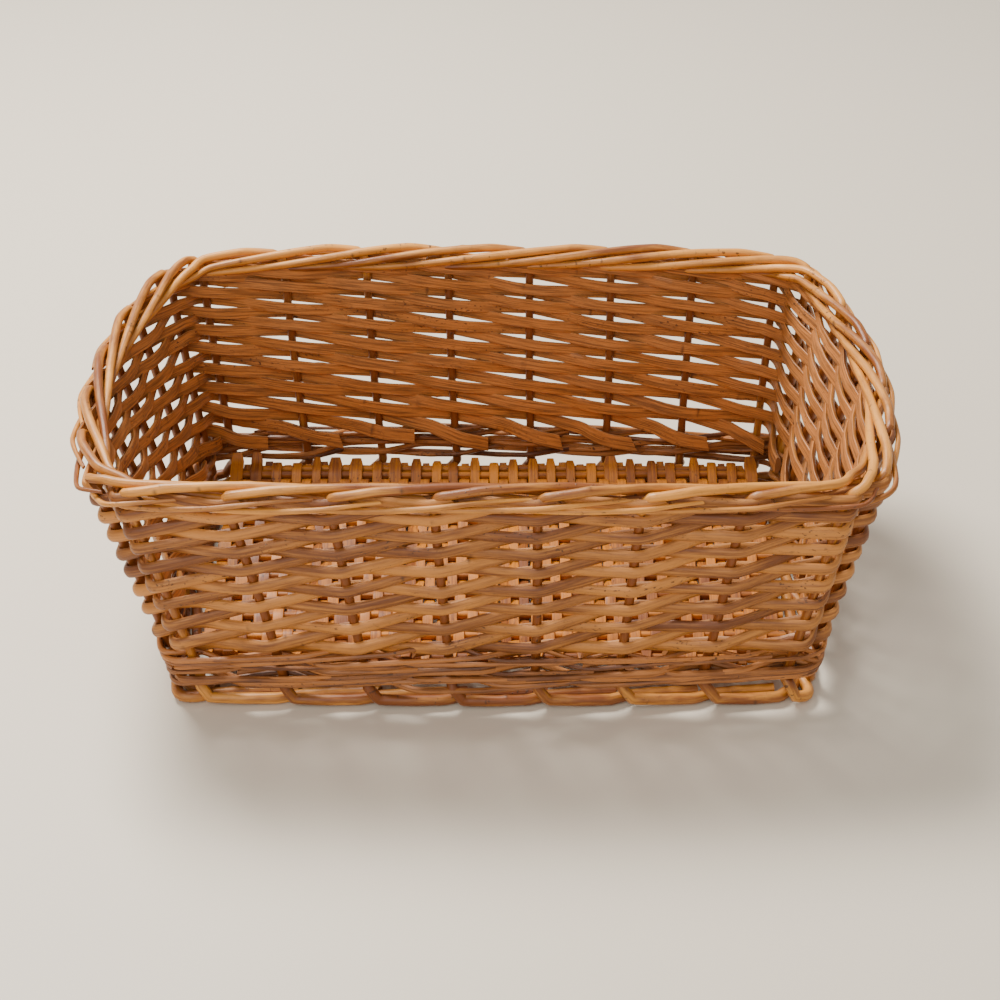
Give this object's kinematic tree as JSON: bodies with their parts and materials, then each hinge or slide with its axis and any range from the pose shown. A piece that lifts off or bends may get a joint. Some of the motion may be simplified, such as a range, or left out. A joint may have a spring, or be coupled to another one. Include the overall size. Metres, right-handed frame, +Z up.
{
  "type": "bread basket",
  "caption": "Rectangular open bread basket woven from buff willow, with flared bowed walls, a rolled rope-like rim border, a bottom wale, a foot border and a woven base.",
  "frame": {"origin": "on the table under the middle of the basket, at the bottom centre of its bounding box", "axes": "+X along the basket's length, +Z up, the front long side faces -Y"},
  "size_m": [0.4006, 0.2598, 0.1412],
  "materials": {
    "stakes": "buff willow rods with a light clear lacquer",
    "weave": "split buff willow, satin lacquer on the bark side, matt pith inside",
    "wale": "thin whole willow rods, satin lacquer",
    "borders": "honey-coloured willow rods, satin lacquer",
    "base": "round sticks and flat split strips, satin"
  },
  "bodies": {
    "root": {"stake_01": "stakes", "stake_02": "stakes", "stake_03": "stakes", "stake_04": "stakes", "stake_05": "stakes", "stake_06": "stakes", "stake_07": "stakes", "stake_08": "stakes", "stake_09": "stakes", "stake_10": "stakes", "stake_11": "stakes", "stake_12": "stakes", "stake_13": "stakes", "stake_14": "stakes", "stake_15": "stakes", "stake_16": "stakes", "stake_17": "stakes", "stake_18": "stakes", "stake_19": "stakes", "stake_20": "stakes", "stake_21": "stakes", "stake_22": "stakes", "stake_23": "stakes", "stake_24": "stakes", "stake_25": "stakes", "stake_26": "stakes", "stake_27": "stakes", "stake_28": "stakes", "side_weave_front": "weave", "side_weave_right": "weave", "side_weave_back": "weave", "side_weave_left": "weave", "bottom_wale_front": "wale", "bottom_wale_right": "wale", "bottom_wale_back": "wale", "bottom_wale_left": "wale", "rim_border_front": "borders", "rim_border_right": "borders", "rim_border_back": "borders", "rim_border_left": "borders", "foot_border_front": "borders", "foot_border_right": "borders", "foot_border_back": "borders", "foot_border_left": "borders", "base_stick_01": "base", "base_stick_02": "base", "base_stick_03": "base", "base_stick_04": "base", "base_stick_05": "base", "base_stick_06": "base", "base_stick_07": "base", "base_stick_08": "base", "base_stick_09": "base", "base_stick_10": "base", "base_stick_11": "base", "base_stick_12": "base", "base_stick_13": "base", "base_weave": "base"}
  },
  "joints": []
}
